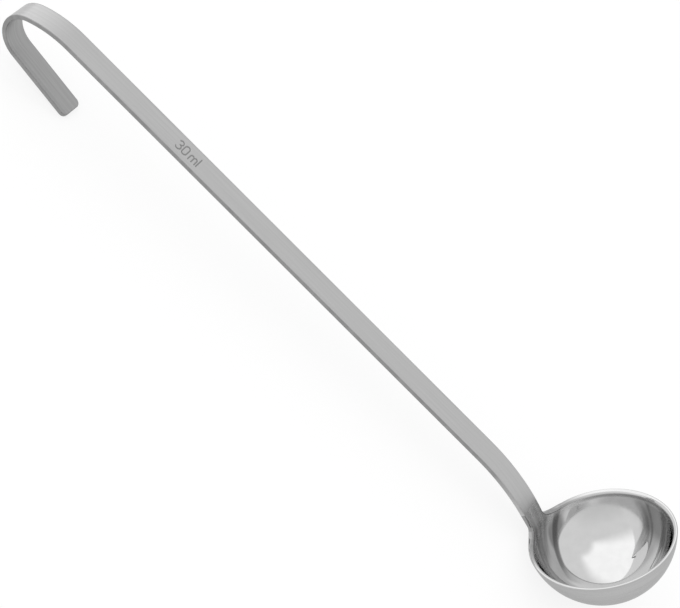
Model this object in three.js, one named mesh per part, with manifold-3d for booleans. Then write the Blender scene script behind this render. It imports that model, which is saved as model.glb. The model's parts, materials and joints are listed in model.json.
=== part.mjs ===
// Serving ladle of stainless sheet: a round bowl, a flat bar handle and a hooked end.
// Millimetres, +Z up. The ladle lies as on a table, on the bowl's belly and the hook's tip,
// with the bowl towards +X. The origin is on the table, under the middle of the ladle.

import * as THREE from 'three';
import { mergeVertices } from 'three/addons/utils/BufferGeometryUtils.js';
import Module from 'manifold-3d';

const { degToRad, lerp, smoothstep } = THREE.MathUtils;

// Sheet
const SHEET = 2; // thickness of the bowl's wall and of the bar
const EDGE_RADIUS = 0.4; // rounding of the cut edges

// Bowl, a spherical cap
const RIM_RADIUS = 30; // outside
const BOWL_DEPTH = 25.5; // outside, below the rim

// Neck, the tab drawn with the bowl and the weld on its end
const TAB_LENGTH = 9.5; // along the sheet, from the rim
const ROOT_FILLET = 3; // between the tab's sides and the rim
const WELD_WIDTH = 1.2; // along the bar
const NECK_RADIUS = 83; // bend of the tab, the weld and the bar's foot

// Handle, one bar
const BAR_WIDTH = 11;
const BAR_ANGLE = degToRad(52.5); // straight run against the rim's plane
const BAR_LENGTH = 230; // straight run
const LEAD_RADIUS = 43; // easy bend into the hook
const LEAD_TURN = degToRad(27.5);
const HOOK_RADIUS = 11.5; // tight bend of the hook
const HOOK_TURN = degToRad(142);
const LEG_LENGTH = 32; // straight leg after the hook
const TIP_RADIUS = 2.5; // corners of the leg's end

// Root of the tab, which reaches down into the bowl's wall where the two are joined
const ROOT_REACH = 2.5; // below the rim
const ROOT_SINK = 0.3; // foot of the fillets below the rim
const ROOT_PROUD = 0.02; // over the wall's faces, so that the surfaces cross cleanly
const ROOT_THICKNESS = 1; // of the buried end

// Fineness of the facets
const BOWL_COLUMNS = 80;
const BOWL_ROWS = 14;
const TAB_COLUMNS = 12;
const EDGE_STEPS = 3;
const ROUND_STEPS = 6;
const BEND_STEP = degToRad(6);

// What follows from the sizes
const QUARTER = Math.PI / 2;
const OUTER_RADIUS = (RIM_RADIUS ** 2 + BOWL_DEPTH ** 2) / (2 * BOWL_DEPTH);
const INNER_RADIUS = OUTER_RADIUS - SHEET;
const WALL_RADIUS = OUTER_RADIUS - SHEET / 2; // middle of the wall
const CENTRE_HEIGHT = OUTER_RADIUS - BOWL_DEPTH; // centre of the ball above the rim's plane
const WALL_ANGLE = Math.acos(CENTRE_HEIGHT / WALL_RADIUS); // slope of the wall at the rim

const wasm = await Module();
wasm.setup();

function toSolid(geometry) {
  geometry.deleteAttribute('normal');
  geometry.deleteAttribute('uv');
  const merged = mergeVertices(geometry);
  const corners = merged.index.array;
  const triangles = [];
  for (let i = 0; i < corners.length; i += 3) {
    const [a, b, c] = corners.slice(i, i + 3);
    if (a !== b && b !== c && c !== a) triangles.push(a, b, c);
  }
  const vertProperties = merged.attributes.position.array;
  const triVerts = new Uint32Array(triangles);
  return new wasm.Manifold(new wasm.Mesh({ numProp: 3, vertProperties, triVerts }));
}

function toGeometry(solid) {
  const { vertProperties, triVerts } = solid.getMesh();
  const geometry = new THREE.BufferGeometry();
  geometry.setAttribute('position', new THREE.BufferAttribute(vertProperties, 3));
  geometry.setIndex(new THREE.BufferAttribute(triVerts, 1));
  geometry.computeVertexNormals();
  return geometry;
}

function last(list) {
  return list[list.length - 1];
}

// What a rounded corner takes off at a distance from the end that it rounds.
function roundOff(radius, distance) {
  const inset = radius - Math.min(Math.max(distance, 0), radius);
  return radius - Math.sqrt(radius ** 2 - inset ** 2);
}

// Points of an arc round a centre in the profile plane.
function arc(centre, radius, from, to, steps) {
  return Array.from({ length: steps + 1 }, (_, i) => {
    const angle = lerp(from, to, i / steps);
    return new THREE.Vector2(centre.x + radius * Math.cos(angle), centre.y + radius * Math.sin(angle));
  });
}

// Side line of the handle. A station is a place on the middle of the sheet in the XZ plane, with
// the heading above -X, and with the half width, the thickness and the crosswise curvature there.

function station(x, z, heading) {
  return { x, z, heading, half: BAR_WIDTH / 2, thick: SHEET, curvature: 0 };
}

function ahead(from, distance) {
  const x = from.x - distance * Math.cos(from.heading);
  const z = from.z + distance * Math.sin(from.heading);
  return station(x, z, from.heading);
}

function turned(from, radius, turn) {
  const heading = from.heading - turn;
  const x = from.x + radius * (Math.sin(heading) - Math.sin(from.heading));
  const z = from.z + radius * (Math.cos(heading) - Math.cos(from.heading));
  return station(x, z, heading);
}

function bend(from, radius, turn) {
  const steps = Math.max(1, Math.ceil(turn / BEND_STEP));
  return Array.from({ length: steps }, (_, i) => turned(from, radius, (turn * (i + 1)) / steps));
}

// Section of the bar: a flat rectangle with rounded edges, its two faces divided into columns.
function barSection(columns) {
  const side = BAR_WIDTH / 2 - EDGE_RADIUS;
  const rise = SHEET / 2 - EDGE_RADIUS;
  const face = (from, height) => Array.from({ length: columns - 1 }, (_, i) => (
    new THREE.Vector2(lerp(from, -from, (i + 1) / columns), height)));
  const corner = (x, y, quarter) => (
    arc({ x, y }, EDGE_RADIUS, quarter * QUARTER, (quarter + 1) * QUARTER, EDGE_STEPS));
  return new THREE.Shape([
    ...corner(side, rise, 0),
    ...face(side, SHEET / 2),
    ...corner(-side, rise, 1),
    ...corner(-side, -rise, 2),
    ...face(-side, -SHEET / 2),
    ...corner(side, -rise, 3),
  ]);
}

// Place in a section that is bowed crosswise, from u across the sheet and t through it.
function bowed(u, t, curvature) {
  if (curvature === 0) return { side: u, rise: t };
  const radius = 1 / curvature;
  const angle = u * curvature;
  return { side: (radius - t) * Math.sin(angle), rise: radius - (radius - t) * Math.cos(angle) };
}

// Bar along the stations: a straight extrusion with one step for each station, bent into place.
function bar(stations, columns = 1) {
  const steps = stations.length - 1;
  const geometry = new THREE.ExtrudeGeometry(barSection(columns), { depth: steps, steps, bevelEnabled: false });
  const position = geometry.attributes.position;
  for (let i = 0; i < position.count; i += 1) {
    const { x, z, heading, half, thick, curvature } = stations[Math.round(position.getZ(i))];
    const u = (position.getX(i) * half) / (BAR_WIDTH / 2);
    const t = (position.getY(i) * thick) / SHEET;
    const { side, rise } = bowed(u, t, curvature);
    position.setXYZ(i, x + rise * Math.sin(heading), -side, z + rise * Math.cos(heading));
  }
  return geometry;
}

// Bowl: the wall turned about its axis, with the rim's two edges rounded.
function bowlShell() {
  const centre = new THREE.Vector2(0, CENTRE_HEIGHT);
  const edgeCentre = (reach) => (
    new THREE.Vector2(Math.sqrt(reach ** 2 - (CENTRE_HEIGHT + EDGE_RADIUS) ** 2), -EDGE_RADIUS));
  const outerEdge = edgeCentre(OUTER_RADIUS - EDGE_RADIUS);
  const innerEdge = edgeCentre(INNER_RADIUS + EDGE_RADIUS);
  const outerTop = outerEdge.clone().sub(centre).angle() - 4 * QUARTER;
  const innerTop = innerEdge.clone().sub(centre).angle() - 4 * QUARTER;
  const profile = [
    ...arc(centre, OUTER_RADIUS, -QUARTER, outerTop, BOWL_ROWS),
    ...arc(outerEdge, EDGE_RADIUS, outerTop, QUARTER, EDGE_STEPS).slice(1),
    ...arc(innerEdge, EDGE_RADIUS, QUARTER, innerTop + 2 * QUARTER, EDGE_STEPS),
    ...arc(centre, INNER_RADIUS, innerTop, -QUARTER, BOWL_ROWS).slice(1),
  ];
  return new THREE.LatheGeometry(profile, BOWL_COLUMNS).rotateX(QUARTER);
}

// Tab: it goes on from the wall, flares into the rim at its root and flattens towards the weld.
const rim = station(-WALL_RADIUS * Math.sin(WALL_ANGLE), 0, WALL_ANGLE);

function tabStation(distance) {
  const radius = distance < 0 ? -WALL_RADIUS : NECK_RADIUS;
  const place = turned(rim, radius, distance / radius);
  const blend = 1 - smoothstep(distance, 0, TAB_LENGTH);
  place.half += roundOff(ROOT_FILLET, distance + ROOT_SINK);
  place.thick += 2 * ROOT_PROUD * blend;
  place.curvature = blend / WALL_RADIUS;
  return place;
}

function tabStations() {
  const foot = tabStation(-ROOT_REACH);
  foot.thick = ROOT_THICKNESS;
  const stations = [foot, tabStation(-ROOT_SINK - EDGE_RADIUS)];
  for (let i = 0; i <= ROUND_STEPS; i += 1) {
    const lift = ROOT_FILLET * (1 - Math.cos((QUARTER * i) / ROUND_STEPS));
    stations.push(tabStation(lift - ROOT_SINK));
  }
  for (let i = 1; i <= ROUND_STEPS; i += 1) {
    stations.push(tabStation(lerp(ROOT_FILLET - ROOT_SINK, TAB_LENGTH, i / ROUND_STEPS)));
  }
  return stations;
}

// Handle: the bar's foot, its straight run, the hook in two bends, and the leg with a rounded tip.
function runStations(start) {
  const foot = bend(start, NECK_RADIUS, start.heading - BAR_ANGLE);
  return [...foot, ahead(last(foot), BAR_LENGTH)];
}

function hookStations(start) {
  const lead = bend(start, LEAD_RADIUS, LEAD_TURN);
  const hook = bend(last(lead), HOOK_RADIUS, HOOK_TURN);
  const leg = [];
  for (let i = 0; i <= ROUND_STEPS; i += 1) {
    const left = TIP_RADIUS * (1 - Math.sin((QUARTER * i) / ROUND_STEPS));
    const place = ahead(last(hook), LEG_LENGTH - left);
    place.half -= roundOff(TIP_RADIUS, left);
    place.thick -= 2 * roundOff(EDGE_RADIUS, left);
    leg.push(place);
  }
  return [...lead, ...hook, ...leg];
}

// Turn about Y that lays the bowl's ball and the lowest place of the hook on one level.
function restingTurn(stations) {
  const turns = stations.flatMap(({ x, z, heading, thick }) => [-thick / 2, thick / 2].map((t) => {
    const along = x + t * Math.sin(heading);
    const above = z + t * Math.cos(heading) - CENTRE_HEIGHT;
    const slant = Math.acos(-OUTER_RADIUS / Math.hypot(along, above));
    return Math.atan2(above, along) - slant - QUARTER;
  }));
  return Math.max(...turns);
}

const polished = new THREE.MeshStandardMaterial({ color: 0xc4c5c6, roughness: 0.08, metalness: 1 });
const ground = new THREE.MeshStandardMaterial({ color: 0xb9babb, roughness: 0.4, metalness: 1 });
const satin = new THREE.MeshStandardMaterial({ color: 0xbcbdbe, roughness: 0.36, metalness: 1 });

function piece(name, geometry, material) {
  const mesh = new THREE.Mesh(geometry, material);
  mesh.name = name;
  return mesh;
}

const tab = tabStations();
const bowl = toSolid(bowlShell()).add(toSolid(bar(tab, TAB_COLUMNS)));
const weld = [last(tab), turned(last(tab), NECK_RADIUS, WELD_WIDTH / NECK_RADIUS)];
const run = runStations(last(weld));
const hook = hookStations(last(run));

const ladle = new THREE.Group();
ladle.add(piece('bowl', toGeometry(bowl), polished));
ladle.add(piece('neck_weld', bar(weld), ground));
ladle.add(piece('handle', bar([last(weld), ...run, ...hook]), satin));
ladle.rotation.y = restingTurn(hook);

const box = new THREE.Box3().setFromObject(ladle, true);
ladle.position.set(-(box.min.x + box.max.x) / 2, -(box.min.y + box.max.y) / 2, -box.min.z);

const part = new THREE.Group();
part.add(ladle);

export default part;
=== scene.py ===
# Serving ladle of stainless steel: its fine surfaces and finish, a pale table, soft light and the camera.

import json
import math

import bpy
import numpy as np
from mathutils import Matrix, Vector


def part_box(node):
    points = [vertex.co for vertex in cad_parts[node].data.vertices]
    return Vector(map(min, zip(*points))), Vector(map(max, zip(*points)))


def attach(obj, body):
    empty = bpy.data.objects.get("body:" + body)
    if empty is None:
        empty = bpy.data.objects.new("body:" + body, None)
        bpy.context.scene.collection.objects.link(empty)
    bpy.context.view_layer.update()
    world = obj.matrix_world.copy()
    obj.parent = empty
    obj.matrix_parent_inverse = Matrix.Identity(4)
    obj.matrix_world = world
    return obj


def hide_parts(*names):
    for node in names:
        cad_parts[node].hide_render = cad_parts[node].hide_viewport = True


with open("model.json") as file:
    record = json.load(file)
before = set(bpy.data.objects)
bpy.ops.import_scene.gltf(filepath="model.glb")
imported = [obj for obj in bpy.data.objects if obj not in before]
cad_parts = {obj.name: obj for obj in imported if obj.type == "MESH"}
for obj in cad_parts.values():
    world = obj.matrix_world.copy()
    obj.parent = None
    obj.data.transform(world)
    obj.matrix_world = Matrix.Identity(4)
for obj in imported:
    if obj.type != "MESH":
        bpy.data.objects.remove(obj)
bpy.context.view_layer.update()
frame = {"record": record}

MM = 0.001

# Sizes in millimetres, as in the part
SHEET = 2.0
EDGE_RADIUS = 0.4
RIM_RADIUS = 30.0
BOWL_DEPTH = 25.5
TAB_LENGTH = 9.5
WELD_WIDTH = 1.2
NECK_RADIUS = 83.0
BAR_WIDTH = 11.0
BAR_ANGLE = math.radians(52.5)
BAR_LENGTH = 230.0
LEAD_RADIUS = 43.0
LEAD_TURN = math.radians(27.5)
HOOK_RADIUS = 11.5
HOOK_TURN = math.radians(142)
LEG_LENGTH = 32.0
TIP_RADIUS = 2.5

# Finer shapes than the part's: flares at the tab's root, a rounder inner edge and an opening lip at the rim
FLARE_WIDTH = 10.0
FLARE_HEIGHT = 3.6
RIM_ROUNDING = 1.2
LIP_DEPTH = 0.4
LIP_POWER = 12
LIP_START = math.radians(20)
LIP_FULL = math.radians(45)

# Capacity mark stamped into the bar: its middle along the bar, its grooves, its characters and their gaps
MARK_MIDDLE = 208.5
MARK_HEIGHT = 4.6
MARK_REACH = 6.5
GROOVE_HALF = 0.45
GROOVE_FLAT = 0.3 * GROOVE_HALF
GROOVE_DEPTH = 0.16
THREE_RADII = (1.2, 1.1)
THREE_SWEEP = 240
ZERO_RADIUS = 1.15
ARCH_RADIUS = 0.85
ARCH_HEIGHT = 2.1
HALF_TURN = 180
CHARACTER_GAP = 0.95
WORD_GAP = 1.6

# Fineness of the surfaces
BOWL_COLUMNS = 216
BOWL_ROWS = 56
TAB_COLUMNS = 36
TAB_ROWS = 20
FLARE_ROWS = 16
BAR_COLUMNS = 12
SIDE_COLUMNS = 4
EDGE_STEPS = 6
TIP_ROWS = 10
WELD_ROWS = 2
BEND_STEP = math.radians(2)
STRAIGHT_STEP = 5.0
MARK_STEP = 0.18
DIFFERENCE = 1e-3
LEAST_BOW = 1e-6

# What follows from the sizes
OUTER_RADIUS = (RIM_RADIUS**2 + BOWL_DEPTH**2) / (2 * BOWL_DEPTH)
WALL_RADIUS = OUTER_RADIUS - SHEET / 2
CENTRE_HEIGHT = OUTER_RADIUS - BOWL_DEPTH
WALL_ANGLE = math.acos(CENTRE_HEIGHT / WALL_RADIUS)
RIM_ARC = WALL_RADIUS * WALL_ANGLE
RIM_REACH = WALL_RADIUS * math.sin(WALL_ANGLE)
NECK_LENGTH = NECK_RADIUS * (WALL_ANGLE - BAR_ANGLE)
LEAD_LENGTH = LEAD_RADIUS * LEAD_TURN
HOOK_LENGTH = HOOK_RADIUS * HOOK_TURN
WELD_END = TAB_LENGTH + WELD_WIDTH
RUN_END = NECK_LENGTH + BAR_LENGTH
LEAD_END = RUN_END + LEAD_LENGTH
HOOK_END = LEAD_END + HOOK_LENGTH
TIP_END = HOOK_END + LEG_LENGTH

# Finish inside the bowl, with dark reflections painted into its grey. Limits are in millimetres up the wall,
# towards the tab (side), to the back or across the streaks: where something starts and is full, or where it
# starts, is full, falls and ends. Darkness is taken off the steel's grey: painted dark reflections, and in
# the streaks partly ground marks. Roughness is added to the steel's own.
STREAK_SLANT = 0.9
STREAK_LENGTH = 60
STREAK_SPACING = 3
STREAK_SHIFT = 1
STREAK_DETAIL = 3
STREAK_NOISE = (0.35, 0.65)
STREAKS_ACROSS = (-7, -3, 5, 10)
STREAKS_UP = (26, 32)
STREAKS_FADE = (38, 45)
FADED_SHARE = 0.65
# In the grey, the streaks are partly ground marks and partly painted reflection; the band beside them is a
# painted dark reflection
STREAK_GRIND_AND_REFLECTION_DARKNESS = (0.02, 0.3)
STREAK_ROUGHNESS = (0.05, 0.15)
BAND_ACROSS = (10, 11.5, 13.5, 15.2)
BAND_UP = (17, 24, RIM_ARC - 3, RIM_ARC)
BAND_REFLECTION_DARKNESS = 0.34
BAND_ROUGHNESS = 0.1
TAB_SIDE = (5, 15)
# Painted dark reflection on the wall opposite the tab
FAR_WALL_UP = (23, 29, RIM_ARC - 4, RIM_ARC - 2)
FAR_WALL_SIDE = (-4, -9)
FAR_WALL_BACK = (7, 13)
FAR_WALL_REFLECTION_DARKNESS = 0.26
# Painted dark reflection along the lip at the back
LIP_LINE_UP = (RIM_ARC - 3.2, RIM_ARC - 2, RIM_ARC - 1.6, RIM_ARC - 1)
LIP_LINE_SIDE = (24, 16)
LIP_LINE_BACK = (8, 24)
LIP_LINE_REFLECTION_DARKNESS = 0.26
HAZY_WALL_UP = (18, 30)
HAZY_WALL_BACK = (14, 26)
HAZY_WALL_ROUGHNESS = 0.08
HAZY_LIP_UP = (RIM_ARC - 4.5, RIM_ARC - 2)
HAZY_LIP_ROUGHNESS = 0.22
HAZE_DETAIL = 4.0
FLUTES_UP = (0.7 * RIM_ARC, RIM_ARC)
FLUTE_DETAIL = 1.0

# Finish of the satin steel: brushed lines, wear along the edges, a belly darker towards the bottom as painted
# shadow, and grooves darkened as painted shade
NOISE_RANGE = (0.25, 0.75)
BRUSH_DEPTH = 0.004
BAR_WEAR = (BAR_WIDTH / 2 - 1, BAR_WIDTH / 2)
RIM_WEAR = (RIM_ARC - 2, RIM_ARC)
WEAR_SPACING = (2, 6, 6)
WEAR_DETAIL = 3.0
LEAST_WEAR = 0.5
WEAR_DARKNESS = 0.07
WEAR_ROUGHNESS = 0.05
BELLY_SHADOW_UP = (12, 30)
BELLY_SHADOW_SHARE = 0.6
BELLY_SHADOW_GREY = 0.22
GROOVE_SHADE_GREY = 0.22
GRAZING_TINT = 0.75


def unit(vectors):
    return vectors / np.linalg.norm(vectors, axis=-1, keepdims=True)


def smoothstep(value, low, high):
    share = np.clip((value - low) / (high - low), 0, 1)
    return share * share * (3 - 2 * share)


def round_off(radius, distance):
    """What a rounded corner takes off at a distance from the end that it rounds."""
    inset = radius - np.clip(distance, 0, radius)
    return radius - np.sqrt(radius**2 - inset**2)


# Middle of the sheet, with the bowl's axis upright and the rim's plane at z = 0


def side_line(along):
    """Place and heading of the sheet's middle line, at a distance from the rim towards the hook."""
    along = np.asarray(along, float)
    heading = WALL_ANGLE + np.minimum(along, 0) / WALL_RADIUS
    x = -WALL_RADIUS * np.sin(heading)
    z = CENTRE_HEIGHT - WALL_RADIUS * np.cos(heading)
    start = 0
    for radius, length in [
        (NECK_RADIUS, NECK_LENGTH),
        (None, BAR_LENGTH),
        (LEAD_RADIUS, LEAD_LENGTH),
        (HOOK_RADIUS, HOOK_LENGTH),
        (None, LEG_LENGTH),
    ]:
        done = np.clip(along - start, 0, length)
        if radius is None:
            x = x - done * np.cos(heading)
            z = z + done * np.sin(heading)
        else:
            turned = heading - done / radius
            x = x + radius * (np.sin(turned) - np.sin(heading))
            z = z + radius * (np.cos(turned) - np.cos(heading))
            heading = turned
        start += length
    return x, z, heading


def middle_point(across, along):
    """The sheet is bowed crosswise like the ball at the rim, and flat from the weld on."""
    x, z, heading = side_line(along)
    bow = np.maximum(1 - smoothstep(along, 0, TAB_LENGTH), LEAST_BOW) / WALL_RADIUS
    side = np.sin(across * bow) / bow
    rise = 2 * np.sin(across * bow / 2) ** 2 / bow
    return np.stack([x + rise * np.sin(heading), side, z + rise * np.cos(heading)], axis=-1)


def changes(surface, across, along):
    """Changes of a surface crosswise and lengthwise, per millimetre."""
    crosswise = surface(across + DIFFERENCE, along) - surface(across - DIFFERENCE, along)
    lengthwise = surface(across, along + DIFFERENCE) - surface(across, along - DIFFERENCE)
    return crosswise / (2 * DIFFERENCE), lengthwise / (2 * DIFFERENCE)


def middle_normal(across, along):
    return unit(np.cross(*changes(middle_point, across, along)))


# Way from the upright bowl to the ladle as it lies


def resting_place():
    """Turn given by the bar's mount, and shift that lays the ball on the table at the bowl's far end."""
    bar_face = next(mount for mount in frame["record"]["mounts"] if mount["name"] == "bar_face")
    turn = BAR_ANGLE - math.atan2(bar_face["axis"][0], bar_face["axis"][2])
    rotation = np.array(Matrix.Rotation(-turn, 3, "Y"))
    far_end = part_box("bowl")[1].x / MM
    centre = np.array([far_end - OUTER_RADIUS, 0, OUTER_RADIUS])
    return rotation, centre - rotation @ [0, 0, CENTRE_HEIGHT]


ROTATION, SHIFT = resting_place()


def grid_faces(rows):
    """Quads between rows of point numbers, facing the inside of the bowl."""
    return [
        (low[j], low[j + 1], high[j + 1], high[j])
        for low, high in zip(rows, rows[1:])
        for j in range(len(low) - 1)
    ]


class Sheet:
    """Middle of a bent sheet, which is then given its thickness and its rounded edges.

    The upper face may stand a little above or below its place, and then has normals of its own.
    The grain tells the materials where a point is: in the bowl up the wall, towards the tab and to the back,
    on the bar across it, along it and into the mark.
    """

    def __init__(self):
        self.points = np.empty((0, 3))
        self.normals = np.empty((0, 3))
        self.upper_normals = np.empty((0, 3))
        self.raised = np.empty(0)
        self.rounding = np.empty(0)
        self.grain = np.empty((0, 3))
        self.faces = []
        self.sides = []
        self.caps = []

    def add_points(self, points, normals, grain, raised=None, upper_normals=None, rounding=EDGE_RADIUS):
        first = len(self.points)
        if raised is None:
            raised, upper_normals = np.zeros(points.shape[:-1]), normals
        self.points = np.vstack([self.points, points.reshape(-1, 3)])
        self.normals = np.vstack([self.normals, normals.reshape(-1, 3)])
        self.upper_normals = np.vstack([self.upper_normals, upper_normals.reshape(-1, 3)])
        self.raised = np.append(self.raised, raised.ravel())
        self.rounding = np.append(self.rounding, np.broadcast_to(rounding, points.shape[:-1]).ravel())
        self.grain = np.vstack([self.grain, grain.reshape(-1, 3)])
        return np.arange(first, len(self.points)).reshape(points.shape[:-1])


def edge_profile(rounding, raised):
    """Rounded edge from the upper face to the lower one: slope, way out and way up at each point."""
    quarter = np.linspace(0, math.pi / 2, EDGE_STEPS + 1)
    slope = np.concatenate([math.pi / 2 - quarter, -quarter])[:, None]
    upper = np.repeat([[True], [False]], EDGE_STEPS + 1, axis=0)
    radius = np.where(upper, rounding, EDGE_RADIUS)
    out = rounding - radius + radius * np.cos(slope)
    up = np.where(upper, SHEET / 2 - rounding + raised, EDGE_RADIUS - SHEET / 2) + radius * np.sin(slope)
    return slope[:, 0], out[..., None], up[..., None]


def side_frames(sheet, side):
    """Directions out of the sheet along a side. The rim's edge is cut level, not square to the wall."""
    points = sheet.points[side]
    normals = sheet.normals[side]
    outward = unit(np.cross(np.gradient(points, axis=0), normals))
    lean = outward[:, 2:] * math.cos(WALL_ANGLE) / math.sin(WALL_ANGLE) ** 2
    return points, normals, outward, lean * (1 - smoothstep(points[:, 2:], 0, FLARE_HEIGHT))


# Places in a piece's list of materials
UPPER_FACE, LOWER_FACE, EDGE, LOWER_EDGE = range(4)


def build(name, sheet, materials):
    """Piece made of a sheet. Its materials are those of the upper face, lower face, edge and lower edge."""
    count = len(sheet.points)
    half = sheet.normals * SHEET / 2
    points = [sheet.points + half + sheet.normals * sheet.raised[:, None], sheet.points - half]
    normals = [sheet.upper_normals, -sheet.normals]
    grain = [sheet.grain, sheet.grain]
    faces = list(sheet.faces) + [tuple(i + count for i in reversed(face)) for face in sheet.faces]
    kinds = [UPPER_FACE] * len(sheet.faces) + [LOWER_FACE] * len(sheet.faces)
    total = 2 * count
    ends = {}
    for side in sheet.sides:
        middle, normal, outward, lean = side_frames(sheet, side)
        slope, out, up = edge_profile(sheet.rounding[side], sheet.raised[side])
        rings = [side]
        for step in range(len(slope)):
            ring = middle + normal * up[step] + outward * (out[step] - lean * up[step])
            if step == 0:
                points[0][side] = ring
            elif step == len(slope) - 1:
                points[1][side] = ring
                rings.append(side + count)
            else:
                tilted = outward + lean * normal
                points.append(ring)
                normals.append(unit(math.cos(slope[step]) * tilted + math.sin(slope[step]) * normal))
                grain.append(sheet.grain[side])
                rings.append(np.arange(total, total + len(side)))
                total += len(side)
        quads = [
            (high[i], low[i], low[i + 1], high[i + 1])
            for high, low in zip(rings, rings[1:])
            for i in range(len(side) - 1)
        ]
        faces += quads
        kinds += [EDGE] * (len(quads) * (EDGE_STEPS + 1) // (2 * EDGE_STEPS + 1))
        kinds += [LOWER_EDGE] * (len(faces) - len(kinds))
        for i in (0, -1):
            ends[side[i]] = [ring[i] for ring in rings]
    for row, facing in sheet.caps:
        loop = [*row[:-1], *ends[row[-1]][:-1], *(row[::-1] + count)[:-1], *ends[row[0]][:0:-1]]
        faces.append(tuple(loop if facing > 0 else loop[::-1]))
        kinds.append(EDGE)
    laid_points = (np.vstack(points) @ ROTATION.T + SHIFT) * MM
    laid_normals = np.vstack(normals) @ ROTATION.T
    mesh = make_mesh(name, laid_points, faces, kinds, np.vstack(grain), materials)
    set_normals(mesh, faces, laid_normals, len(sheet.caps))
    piece = bpy.data.objects.new(name, mesh)
    bpy.context.scene.collection.objects.link(piece)
    return piece


def make_mesh(name, points, faces, kinds, grain, materials):
    mesh = bpy.data.meshes.new(name)
    mesh.from_pydata(points.tolist(), [], [tuple(int(i) for i in face) for face in faces])
    mesh.polygons.foreach_set("material_index", kinds)
    mesh.polygons.foreach_set("use_smooth", [True] * len(faces))
    attribute = mesh.attributes.new("grain", "FLOAT_VECTOR", "POINT")
    attribute.data.foreach_set("vector", grain.astype(np.float32).ravel())
    for material in materials:
        mesh.materials.append(material)
    return mesh


def set_normals(mesh, faces, normals, caps):
    """Gives each corner its point's normal, but keeps the caps, which are the last faces, flat."""
    first_cap = len(faces) - caps
    corners = [tuple(normals[i]) for face in faces[:first_cap] for i in face]
    for cap in mesh.polygons[first_cap:]:
        corners += [tuple(cap.normal)] * cap.loop_total
    mesh.normals_split_custom_set(corners)


# Pieces


def lip_height(arc, turn):
    """Height of the bowl's inside, which opens a little towards the rim, but not beside the tab."""
    from_tab = np.abs(np.mod(turn + math.pi, 2 * math.pi) - math.pi)
    return -LIP_DEPTH * (arc / RIM_ARC) ** LIP_POWER * smoothstep(from_tab, LIP_START, LIP_FULL)


def lip_normals(polar, turn, ray):
    """Normals of the bowl's inside, tilted by the lip."""
    arc = WALL_RADIUS * polar
    upwards = np.stack(
        [-np.cos(polar) * np.cos(turn), np.cos(polar) * np.sin(turn), np.sin(polar)], axis=-1
    )
    sidewards = np.stack([np.sin(turn), np.cos(turn), 0 * turn], axis=-1)
    climb = lip_height(arc + DIFFERENCE, turn) - lip_height(arc - DIFFERENCE, turn)
    swing = lip_height(arc, turn + DIFFERENCE) - lip_height(arc, turn - DIFFERENCE)
    swing = swing / (WALL_RADIUS * np.sin(polar))
    return unit(-ray - (climb[..., None] * upwards + swing[..., None] * sidewards) / (2 * DIFFERENCE))


def bowl_sheet():
    sheet = Sheet()
    rim = WALL_ANGLE - RIM_ROUNDING / WALL_RADIUS
    foot = BAR_WIDTH / 2 + FLARE_WIDTH
    across = np.linspace(-foot, foot, TAB_COLUMNS + 1)
    tab_turn = np.arcsin(np.sin(across / WALL_RADIUS) / math.sin(rim))
    rest_turn = np.linspace(tab_turn[-1], 2 * math.pi + tab_turn[0], BOWL_COLUMNS - TAB_COLUMNS + 1)
    turn = np.concatenate([tab_turn, rest_turn[1:-1]])
    steps = np.arange(1, BOWL_ROWS + 1) / BOWL_ROWS
    polar = (rim * steps)[:, None] + 0 * turn
    around = turn + 0 * polar
    ray = np.stack(
        [-np.sin(polar) * np.cos(around), np.sin(polar) * np.sin(around), -np.cos(polar)], axis=-1
    )
    reach = WALL_RADIUS * np.sin(polar)
    grain = np.stack([WALL_RADIUS * polar, reach * np.cos(around), reach * np.sin(around)], axis=-1)
    centre = np.array([0, 0, CENTRE_HEIGHT])
    pole = sheet.add_points(centre - [[0, 0, WALL_RADIUS]], np.array([[0, 0, 1.0]]), np.zeros((1, 3)))
    raised = lip_height(WALL_RADIUS * polar, around)
    upper_normals = lip_normals(polar, around, ray)
    rows = sheet.add_points(
        centre + WALL_RADIUS * ray, -ray, grain, raised, upper_normals, rounding=RIM_ROUNDING
    )
    closed = [np.append(row, row[0]) for row in rows]
    sheet.faces += [(pole[0], closed[0][j], closed[0][j + 1])[::-1] for j in range(len(turn))]
    sheet.faces += grid_faces(closed)
    tab = tab_rows(sheet, rows[-1][: TAB_COLUMNS + 1])
    sheet.faces += grid_faces(tab)
    left = [row[0] for row in tab[::-1]]
    right = [row[-1] for row in tab]
    far = rows[-1][: TAB_COLUMNS : -1]
    sheet.sides.append(np.array([*left, *far, *right]))
    sheet.caps.append((tab[-1], 1))
    return sheet


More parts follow.
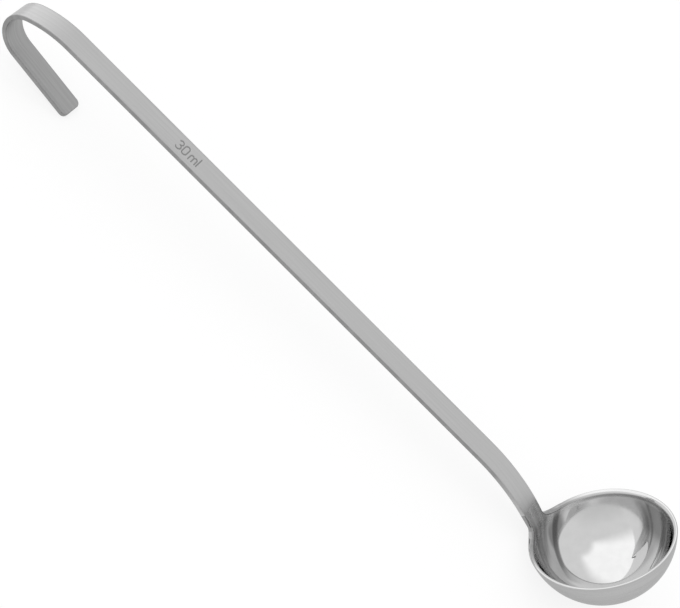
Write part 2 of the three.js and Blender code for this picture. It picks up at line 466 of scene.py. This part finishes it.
def tab_rows(sheet, first):
    """Rows of the tab, from the rim through the flares of its root up to the weld."""
    turn = np.append(np.linspace(0, math.pi / 2, FLARE_ROWS + 1)[1:], np.full(TAB_ROWS, math.pi / 2))
    straight = np.append(np.zeros(FLARE_ROWS), np.linspace(0, TAB_LENGTH - FLARE_HEIGHT, TAB_ROWS + 1)[1:])
    height = FLARE_HEIGHT * (1 - np.cos(turn)) + straight
    half = BAR_WIDTH / 2 + FLARE_WIDTH * (1 - np.sin(turn))
    outward = unit(np.stack([FLARE_HEIGHT * np.sin(turn), FLARE_WIDTH * np.cos(turn)], axis=-1))
    rounding = EDGE_RADIUS + (RIM_ROUNDING - EDGE_RADIUS) * (1 - smoothstep(height, 0, TAB_LENGTH))
    half, height = half - rounding * outward[:, 0], height - rounding * outward[:, 1]
    across = half[:, None] * np.linspace(-1, 1, TAB_COLUMNS + 1)
    dip = np.arccos(CENTRE_HEIGHT / WALL_RADIUS / np.cos(across / WALL_RADIUS)) - WALL_ANGLE
    fade = 1 - smoothstep(height, -RIM_ROUNDING, FLARE_HEIGHT)
    along = height[:, None] + fade[:, None] * dip * WALL_RADIUS
    grain = np.stack(
        [
            RIM_ARC + along,
            RIM_REACH * np.cos(across / RIM_REACH),
            RIM_REACH * np.sin(across / RIM_REACH),
        ],
        axis=-1,
    )
    rounding = rounding[:, None] + 0 * across
    points, normals = middle_point(across, along), middle_normal(across, along)
    rows = sheet.add_points(points, normals, grain, rounding=rounding)
    return [first, *rows]


def segment_distance(x, y, start, end):
    """Distance of points from a straight stroke."""
    run, rise = end[0] - start[0], end[1] - start[1]
    share = np.clip(((x - start[0]) * run + (y - start[1]) * rise) / (run**2 + rise**2), 0, 1)
    return np.hypot(x - start[0] - share * run, y - start[1] - share * rise)


def arc_distance(x, y, centre, radius, start, sweep):
    """Distance of points from a stroke along a circle, which starts at an angle and runs anticlockwise."""
    start, sweep = math.radians(start), math.radians(sweep)
    x, y = x - centre[0], y - centre[1]
    over = np.mod(np.arctan2(y, x) - start - sweep / 2 + math.pi, 2 * math.pi) - math.pi
    angle = start + sweep / 2 + np.clip(over, -sweep / 2, sweep / 2)
    return np.hypot(x - radius * np.cos(angle), y - radius * np.sin(angle))


def mark_distance(x, y):
    """Distance from the strokes of 30 ml, whose left end and foot are at zero, and its whole length."""
    low, high = THREE_RADII
    top = MARK_HEIGHT - ZERO_RADIUS
    zero = 2 * low + CHARACTER_GAP
    letter = zero + 2 * ZERO_RADIUS + WORD_GAP
    last = letter + 4 * ARCH_RADIUS + CHARACTER_GAP
    strokes = [
        arc_distance(x, y, (low, low), low, 90 - THREE_SWEEP, THREE_SWEEP),
        arc_distance(x, y, (low, MARK_HEIGHT - high), high, -90, THREE_SWEEP),
        arc_distance(x, y, (zero + ZERO_RADIUS, ZERO_RADIUS), ZERO_RADIUS, HALF_TURN, HALF_TURN),
        arc_distance(x, y, (zero + ZERO_RADIUS, top), ZERO_RADIUS, 0, HALF_TURN),
        segment_distance(x, y, (zero, ZERO_RADIUS), (zero, top)),
        segment_distance(x, y, (zero + 2 * ZERO_RADIUS, ZERO_RADIUS), (zero + 2 * ZERO_RADIUS, top)),
        segment_distance(x, y, (last, 0), (last, MARK_HEIGHT)),
    ]
    for leg in range(3):
        foot = letter + 2 * leg * ARCH_RADIUS
        strokes.append(segment_distance(x, y, (foot, 0), (foot, ARCH_HEIGHT)))
        if leg < 2:
            arch = (foot + ARCH_RADIUS, ARCH_HEIGHT)
            strokes.append(arc_distance(x, y, arch, ARCH_RADIUS, 0, HALF_TURN))
    return np.minimum.reduce(strokes), last


def mark_height(across, along):
    """Height of the stamped face, below zero in the grooves. The mark reads towards the bowl."""
    length = mark_distance(0.0, 0.0)[1]
    distance = mark_distance(MARK_MIDDLE - along + length / 2, across + MARK_HEIGHT / 2)[0]
    return -GROOVE_DEPTH * (1 - smoothstep(distance, GROOVE_FLAT, GROOVE_HALF))


def stamped(across, along, normals):
    """Height of the bar's upper face, and its normals."""
    slopes = changes(mark_height, across, along)
    directions = changes(middle_point, across, along)
    for slope, direction in zip(slopes, directions):
        normals = normals - slope[..., None] * unit(direction)
    return mark_height(across, along), unit(normals)


def bar_sheet(along, half, columns, end_cap):
    """Flat bar over stations along it. The columns are shares of its half width there, less its edge.

    Without an end cap its end has a rounded edge like its sides.
    """
    sheet = Sheet()
    across = half[:, None] * columns
    along = along[:, None] + 0 * across
    normals = middle_normal(across, along)
    raised, upper_normals = stamped(across, along, normals)
    grain = np.stack([across, along, -raised / GROOVE_DEPTH], axis=-1)
    rows = sheet.add_points(middle_point(across, along), normals, grain, raised, upper_normals)
    sheet.faces += grid_faces(list(rows))
    sheet.caps.append((rows[0], -1))
    if end_cap:
        sheet.caps.append((rows[-1], 1))
        sheet.sides += [rows[:, -1], rows[::-1, 0]]
    else:
        sheet.sides.append(np.concatenate([rows[:, -1], rows[-1, -2:0:-1], rows[::-1, 0]]))
    return sheet


def weld_sheet():
    along = np.linspace(TAB_LENGTH, WELD_END, WELD_ROWS + 1)
    half = np.full(len(along), BAR_WIDTH / 2 - EDGE_RADIUS)
    return bar_sheet(along, half, np.linspace(-1, 1, BAR_COLUMNS + 1), end_cap=True)


def spaced(start, end, step):
    """Distances along a stretch, without its start."""
    return np.linspace(start, end, math.ceil((end - start) / step) + 1)[1:]


def handle_sheet():
    corner = TIP_RADIUS - EDGE_RADIUS
    tip = TIP_END - EDGE_RADIUS
    rounding = tip - corner * (1 - np.sin(np.linspace(0, math.pi / 2, TIP_ROWS + 1)))
    along = np.concatenate(
        [
            [WELD_END],
            spaced(WELD_END, NECK_LENGTH, NECK_RADIUS * BEND_STEP),
            spaced(NECK_LENGTH, MARK_MIDDLE - MARK_REACH, STRAIGHT_STEP),
            spaced(MARK_MIDDLE - MARK_REACH, MARK_MIDDLE + MARK_REACH, MARK_STEP),
            spaced(MARK_MIDDLE + MARK_REACH, RUN_END, STRAIGHT_STEP),
            spaced(RUN_END, LEAD_END, LEAD_RADIUS * BEND_STEP),
            spaced(LEAD_END, HOOK_END, HOOK_RADIUS * BEND_STEP),
            spaced(HOOK_END, rounding[0], STRAIGHT_STEP),
            rounding[1:],
        ]
    )
    half = BAR_WIDTH / 2 - EDGE_RADIUS - round_off(corner, tip - along)
    fine = MARK_HEIGHT / 2 + GROOVE_HALF
    middle = np.append(-fine, spaced(-fine, fine, MARK_STEP)) / half[0]
    beside = np.linspace(middle[-1], 1, SIDE_COLUMNS + 1)[1:]
    columns = np.concatenate([-beside[::-1], middle, beside])
    return bar_sheet(along, half, columns, end_cap=False)


# Materials


def add_node(tree, kind, inputs=None, **settings):
    """Node of a tree. An input is a value, or the output of another node."""
    node = tree.nodes.new(kind)
    for name, value in settings.items():
        setattr(node, name, value)
    for name, value in (inputs or {}).items():
        if isinstance(value, bpy.types.NodeSocket):
            tree.links.new(value, node.inputs[name])
        else:
            node.inputs[name].default_value = value
    return node


def calculate(tree, operation, first, second=0.0):
    return add_node(tree, "ShaderNodeMath", {0: first, 1: second}, operation=operation).outputs[0]


def product(tree, first, *others):
    for other in others:
        first = calculate(tree, "MULTIPLY", first, other)
    return first


def grain_part(tree, part):
    """One of the grain's directions: X, Y or Z."""
    grain = add_node(tree, "ShaderNodeAttribute", attribute_name="grain")
    return add_node(tree, "ShaderNodeSeparateXYZ", {0: grain.outputs["Vector"]}).outputs[part]


def noise_at(tree, spot, detail):
    noise = add_node(tree, "ShaderNodeTexNoise", {"Vector": spot.outputs[0], "Scale": 1, "Detail": detail})
    return noise.outputs["Fac"]


def grain_lines(tree, spacing, detail=2.0):
    """Noise drawn out along the grain. The spacing is in millimetres along the grain's three directions."""
    grain = add_node(tree, "ShaderNodeAttribute", attribute_name="grain")
    spot = add_node(
        tree, "ShaderNodeVectorMath", {0: grain.outputs["Vector"], 1: spacing}, operation="DIVIDE"
    )
    return noise_at(tree, spot, detail)


def ranged(tree, value, start, end, low, high):
    """Value that eases from low at the start to high at the end."""
    node = add_node(
        tree,
        "ShaderNodeMapRange",
        {"Value": value, "From Min": start, "From Max": end, "To Min": low, "To Max": high},
        interpolation_type="SMOOTHSTEP",
    )
    return node.outputs[0]


def eased(tree, part, limits, most=1):
    """Value that eases from zero to its most between two limits along one of the grain's directions."""
    return ranged(tree, grain_part(tree, part), *limits, 0, most)


def between(tree, value, limits):
    """Share that eases from zero to one between the first two limits, and back between the last two."""
    start, full, fall, end = limits
    return product(tree, ranged(tree, value, start, full, 0, 1), ranged(tree, value, fall, end, 1, 0))


def spread(tree, noise, low, high):
    """Value between low and high that follows a noise."""
    return ranged(tree, noise, *NOISE_RANGE, low, high)


def steel(name, level, roughness, height, depth):
    """Bare steel whose grey, roughness and height come from its nodes. The depth is in millimetres."""
    material = bpy.data.materials.new(name)
    material.use_nodes = True
    tree = material.node_tree
    shader = tree.nodes["Principled BSDF"]
    shader.inputs["Metallic"].default_value = 1
    level, roughness, height = level(tree), roughness(tree), height(tree)
    colour = add_node(tree, "ShaderNodeCombineColor", {"Red": level, "Green": level, "Blue": level})
    bump = add_node(tree, "ShaderNodeBump", {"Height": height, "Distance": depth * MM})
    tree.links.new(colour.outputs[0], shader.inputs["Base Color"])
    tree.links.new(roughness, shader.inputs["Roughness"])
    tree.links.new(bump.outputs["Normal"], shader.inputs["Normal"])
    return material


def rubbed(tree, limits):
    """Share of wear along an edge, which grows with the grain's first direction and is uneven."""
    distance = calculate(tree, "ABSOLUTE", grain_part(tree, "X"))
    uneven = spread(tree, grain_lines(tree, WEAR_SPACING, WEAR_DETAIL), LEAST_WEAR, 1)
    return product(tree, ranged(tree, distance, *limits, 0, 1), uneven)


def brushed_steel(name, level, roughness, fine, broad, wear):
    """Satin steel: fine brushed lines, broader streaks in its grey, edges made dull by use."""

    def worn_level(tree):
        streaks = spread(tree, grain_lines(tree, broad), *level)
        return calculate(tree, "SUBTRACT", streaks, product(tree, rubbed(tree, wear), WEAR_DARKNESS))

    def worn_roughness(tree):
        lines = spread(tree, grain_lines(tree, fine), *roughness)
        return calculate(tree, "ADD", lines, product(tree, rubbed(tree, wear), WEAR_ROUGHNESS))

    return steel(name, worn_level, worn_roughness, lambda tree: grain_lines(tree, fine), BRUSH_DEPTH)


def cut_steel(name, level, part, limits, change, roughness, fine):
    """Edge whose grey changes between two limits along one of the grain's directions."""

    def faded(tree):
        plain = spread(tree, grain_lines(tree, fine), *level)
        return calculate(tree, "ADD", plain, eased(tree, part, limits, change))

    return steel(
        name,
        faded,
        lambda tree: spread(tree, grain_lines(tree, fine), *roughness),
        lambda tree: grain_lines(tree, fine),
        BRUSH_DEPTH,
    )


def across_streaks(tree):
    """Distance across the streaks, which run straight along the tab and slant down the wall below it."""
    below = calculate(tree, "SUBTRACT", RIM_ARC, grain_part(tree, "X"))
    slant = product(tree, calculate(tree, "MAXIMUM", below, 0), STREAK_SLANT)
    return calculate(tree, "ADD", grain_part(tree, "Z"), slant)


def tab_streaks_and_band(tree, low, high, band):
    """Streaks on the tab and the wall below it, between low and high, and a band beside them. In the grey,
    the streaks are partly ground marks and partly painted reflection, and the band is a painted dark
    reflection.
    """
    across, arc = across_streaks(tree), grain_part(tree, "X")
    spot = add_node(
        tree,
        "ShaderNodeCombineXYZ",
        {
            "X": product(tree, arc, 1 / STREAK_LENGTH),
            "Y": STREAK_SHIFT,
            "Z": product(tree, across, 1 / STREAK_SPACING),
        },
    )
    streaks = product(
        tree,
        ranged(tree, noise_at(tree, spot, STREAK_DETAIL), *STREAK_NOISE, low, high),
        between(tree, across, STREAKS_ACROSS),
        ranged(tree, arc, *STREAKS_UP, 0, 1),
        ranged(tree, arc, *STREAKS_FADE, 1, FADED_SHARE),
    )
    beside = product(tree, between(tree, across, BAND_ACROSS), between(tree, arc, BAND_UP), band)
    return product(tree, calculate(tree, "MAXIMUM", streaks, beside), eased(tree, "Y", TAB_SIDE))


def far_wall_reflection(tree):
    """Darker patch of the wall opposite the tab, towards the back: a painted dark reflection."""
    return product(
        tree,
        between(tree, grain_part(tree, "X"), FAR_WALL_UP),
        eased(tree, "Y", FAR_WALL_SIDE),
        eased(tree, "Z", FAR_WALL_BACK, FAR_WALL_REFLECTION_DARKNESS),
    )


def lip_reflection_line(tree):
    """Thin dark line inside the lip at the back, which ends short of the tab: a painted dark reflection."""
    return product(
        tree,
        between(tree, grain_part(tree, "X"), LIP_LINE_UP),
        eased(tree, "Y", LIP_LINE_SIDE),
        eased(tree, "Z", LIP_LINE_BACK, LIP_LINE_REFLECTION_DARKNESS),
    )


def rubbed_wall(tree):
    """Roughness added to the back of the wall, and more of it inside the lip."""
    wall = eased(tree, "X", HAZY_WALL_UP, HAZY_WALL_ROUGHNESS)
    lip = eased(tree, "X", HAZY_LIP_UP, HAZY_LIP_ROUGHNESS)
    return calculate(tree, "MAXIMUM", product(tree, wall, eased(tree, "Z", HAZY_WALL_BACK)), lip)


def polished_steel(name, level, roughness, haze, flutes, depth):
    """Mirror with a slight haze and shallow flutes, streaked on the tab, with dark reflections painted into
    its grey in some places.
    """

    def level_with_dark_reflections(tree):
        plain = spread(tree, grain_lines(tree, haze, HAZE_DETAIL), *level)
        streaks_and_dark_reflections = calculate(tree, "ADD", tab_streaks_and_band(tree, *STREAK_GRIND_AND_REFLECTION_DARKNESS, BAND_REFLECTION_DARKNESS), far_wall_reflection(tree))
        return calculate(tree, "SUBTRACT", plain, calculate(tree, "ADD", streaks_and_dark_reflections, lip_reflection_line(tree)))

    def dulled_roughness(tree):
        plain = spread(tree, grain_lines(tree, haze, HAZE_DETAIL), *roughness)
        streaks = tab_streaks_and_band(tree, *STREAK_ROUGHNESS, BAND_ROUGHNESS)
        return calculate(tree, "ADD", plain, calculate(tree, "MAXIMUM", streaks, rubbed_wall(tree)))

    def fluted(tree):
        return product(tree, grain_lines(tree, flutes, FLUTE_DETAIL), eased(tree, "X", FLUTES_UP))

    return steel(name, level_with_dark_reflections, dulled_roughness, fluted, depth)


# Numbers of a mix node's sockets for colours
FIRST_COLOUR = 6
SECOND_COLOUR = 7
MIXED_COLOUR = 2


def darken(material, share, grey):
    """Turns a material's grey into a darker one, by a share that comes from its nodes."""
    tree = material.node_tree
    colour = tree.nodes["Principled BSDF"].inputs["Base Color"]
    plain = colour.links[0].from_socket
    darker = (grey, grey, grey, 1)
    mix = add_node(
        tree,
        "ShaderNodeMix",
        {"Factor": share(tree), FIRST_COLOUR: plain, SECOND_COLOUR: darker},
        data_type="RGBA",
    )
    tree.links.new(mix.outputs[MIXED_COLOUR], colour)


# Painted shadow: the belly grows darker towards the bottom, where it mirrors the table's shadow
def belly_reflected_shadow(tree):
    return ranged(tree, grain_part(tree, "X"), *BELLY_SHADOW_UP, BELLY_SHADOW_SHARE, 0)


def groove_shade(tree):
    """Share of painted shade in the stamped mark's grooves: their depth, which is the third direction of the
    bar's grain.
    """
    return grain_part(tree, "Z")


inside_steel = polished_steel(
    "steel_polished",
    level=(0.58, 0.61),
    roughness=(0.03, 0.08),
    haze=(5, 5, 5),
    flutes=(24, 4, 4),
    depth=0.03,
)
outside_steel = brushed_steel(
    "steel_outer",
    level=(0.46, 0.5),
    roughness=(0.26, 0.38),
    fine=(0.1, 9, 9),
    broad=(0.7, 30, 30),
    wear=RIM_WEAR,
)
# Painted shadow on the lower belly
darken(outside_steel, belly_reflected_shadow, BELLY_SHADOW_GREY)
# Grazing reflections on the outside are tinted darker: painted shade along the bowl's outline
grazing = outside_steel.node_tree.nodes["Principled BSDF"].inputs["Specular Tint"]
grazing.default_value = (GRAZING_TINT, GRAZING_TINT, GRAZING_TINT, 1)
# The rim is darker towards the tab and on the tab's edges: painted shade
rim_steel = cut_steel(
    "steel_rim",
    level=(0.57, 0.62),
    part="Y",
    limits=(16, 26),
    change=-0.3,
    roughness=(0.06, 0.12),
    fine=(0.5, 12, 12),
)
weld_steel = brushed_steel(
    "steel_ground",
    level=(0.42, 0.46),
    roughness=(0.28, 0.4),
    fine=(3, 0.1, 1),
    broad=(9, 0.5, 1),
    wear=BAR_WEAR,
)
bar_steel = brushed_steel(
    "steel_satin",
    level=(0.45, 0.49),
    roughness=(0.3, 0.42),
    fine=(0.1, 9, 1),
    broad=(0.7, 40, 1),
    wear=BAR_WEAR,
)
# Painted shade in the grooves of the stamped mark
darken(bar_steel, groove_shade, GROOVE_SHADE_GREY)
# The underside is a darker grey than the bar's top: painted shade
under_steel = brushed_steel(
    "steel_under",
    level=(0.35, 0.4),
    roughness=(0.42, 0.52),
    fine=(0.1, 9, 1),
    broad=(0.7, 40, 1),
    wear=BAR_WEAR,
)
# The cut edges are a darker grey than the faces, which is painted shade; towards the bowl they grow lighter
edge_steel = cut_steel(
    "steel_edge",
    level=(0.27, 0.34),
    part="Y",
    limits=(36, 8),
    change=0.17,
    roughness=(0.36, 0.46),
    fine=(0.2, 4, 1),
)


def place(piece, node):
    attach(piece, "root")
    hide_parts(node)


bowl = build("ladle_bowl", bowl_sheet(), [inside_steel, outside_steel, rim_steel, outside_steel])
weld = build("ladle_weld", weld_sheet(), [weld_steel, weld_steel, edge_steel, edge_steel])
handle = build("ladle_handle", handle_sheet(), [bar_steel, under_steel, edge_steel, edge_steel])
place(bowl, "bowl")
place(weld, "neck_weld")
place(handle, "handle")


# Table, light and camera


FLOOR_REACH = 5.0
FLOOR_GREY = 0.96
FLOOR_ROUGHNESS = 0.9

# Share of plain white in the table as the camera and mirrors see it, while the rest shows the shadow
FLOOR_WHITE_SHARE = 0.8


def floor_material():
    material = bpy.data.materials.new("floor")
    material.use_nodes = True
    tree = material.node_tree
    shader = tree.nodes["Principled BSDF"]
    shader.inputs["Base Color"].default_value = (FLOOR_GREY, FLOOR_GREY, FLOOR_GREY, 1)
    shader.inputs["Roughness"].default_value = FLOOR_ROUGHNESS
    shader.inputs["Specular IOR Level"].default_value = 0
    rays = add_node(tree, "ShaderNodeLightPath").outputs
    seen = calculate(tree, "ADD", rays["Is Camera Ray"], rays["Is Glossy Ray"])
    seen = calculate(tree, "ADD", seen, rays["Is Transmission Ray"])
    glow = add_node(tree, "ShaderNodeEmission", {"Color": (1, 1, 1, 1), "Strength": 1})
    share = product(tree, seen, FLOOR_WHITE_SHARE)
    mixed = add_node(tree, "ShaderNodeMixShader", {0: share, 1: shader.outputs[0], 2: glow.outputs[0]})
    tree.links.new(mixed.outputs[0], tree.nodes["Material Output"].inputs["Surface"])
    return material


def add_floor():
    corners = [(-1, -1), (1, -1), (1, 1), (-1, 1)]
    mesh = bpy.data.meshes.new("floor")
    mesh.from_pydata([(x * FLOOR_REACH, y * FLOOR_REACH, 0) for x, y in corners], [], [(0, 1, 2, 3)])
    mesh.materials.append(floor_material())
    floor = bpy.data.objects.new("floor", mesh)
    bpy.context.scene.collection.objects.link(floor)


# Light from each direction: azimuth from the camera's side towards the bowl, and elevation, in degrees
PANEL_AZIMUTH = -96
PANEL_HALF_WIDTH = 44
PANEL_TOP = 69
PANEL_SIDE_SOFTNESS = 14
PANEL_TOP_SOFTNESS = 7
PANEL_GAIN = 0.5
FRONT_AZIMUTH = 30
FRONT_ELEVATION = 10
FRONT_REACH = (20, 60)
FRONT_GAIN = -0.14


def direction_of(azimuth, elevation):
    azimuth, elevation = math.radians(azimuth), math.radians(elevation)
    level = math.cos(elevation)
    return Vector((math.sin(azimuth) * level, -math.cos(azimuth) * level, math.sin(elevation)))


def add_world():
    """Even pale room with a large soft panel on the hook's side, and a slightly darker front."""
    world = bpy.data.worlds.new("studio")
    world.use_nodes = True
    tree = world.node_tree
    seen = add_node(tree, "ShaderNodeTexCoord").outputs["Generated"]

    def towards(azimuth, elevation):
        way = {0: seen, 1: direction_of(azimuth, elevation)}
        return add_node(tree, "ShaderNodeVectorMath", way, operation="DOT_PRODUCT").outputs["Value"]

    def soft_limit(value, limit, softness, shape, most):
        """Light that falls from its most to none around a limit. The shape turns angles into the value."""
        low, high = (shape(math.radians(limit + soft)) for soft in (-softness, softness))
        return ranged(tree, value, low, high, most, 0)

    aside = calculate(tree, "ARCTAN2", towards(PANEL_AZIMUTH + 90, 0), towards(PANEL_AZIMUTH, 0))
    beside = soft_limit(
        calculate(tree, "ABSOLUTE", aside), PANEL_HALF_WIDTH, PANEL_SIDE_SOFTNESS, float, 1
    )
    below = soft_limit(towards(0, 90), PANEL_TOP, PANEL_TOP_SOFTNESS, math.sin, PANEL_GAIN)
    panel = product(tree, beside, below)
    near, far = (math.cos(math.radians(angle)) for angle in FRONT_REACH)
    room = ranged(tree, towards(FRONT_AZIMUTH, FRONT_ELEVATION), far, near, 1, 1 + FRONT_GAIN)
    background = tree.nodes["Background"]
    background.inputs["Color"].default_value = (1, 1, 1, 1)
    tree.links.new(calculate(tree, "ADD", room, panel), background.inputs["Strength"])
    bpy.context.scene.world = world


# Camera, from a fit to the photograph's outlines, in millimetres and degrees
CAMERA_PLACE = Vector((-4.2616, -442.3166, 538.4946))
CAMERA_AZIMUTH = -1.053
CAMERA_ELEVATION = 49.268
CAMERA_ROLL = 43.0998
CAMERA_LENS = 89.857
SENSOR_WIDTH = 36.0

# Nearest distance that the camera shows, in metres
CLIP_START = 0.01


def add_camera():
    back = direction_of(CAMERA_AZIMUTH, CAMERA_ELEVATION)
    right = direction_of(CAMERA_AZIMUTH + 90, 0)
    right.rotate(Matrix.Rotation(math.radians(CAMERA_ROLL), 3, back))
    turned = Matrix((right, back.cross(right), back)).transposed()
    data = bpy.data.cameras.new("camera")
    data.sensor_width = SENSOR_WIDTH
    data.lens = CAMERA_LENS
    data.clip_start = CLIP_START
    camera = bpy.data.objects.new("camera", data)
    camera.matrix_world = Matrix.Translation(CAMERA_PLACE * MM) @ turned.to_4x4()
    bpy.context.scene.collection.objects.link(camera)
    bpy.context.scene.camera = camera


add_floor()
add_world()
add_camera()
bpy.context.scene.view_settings.view_transform = "Standard"
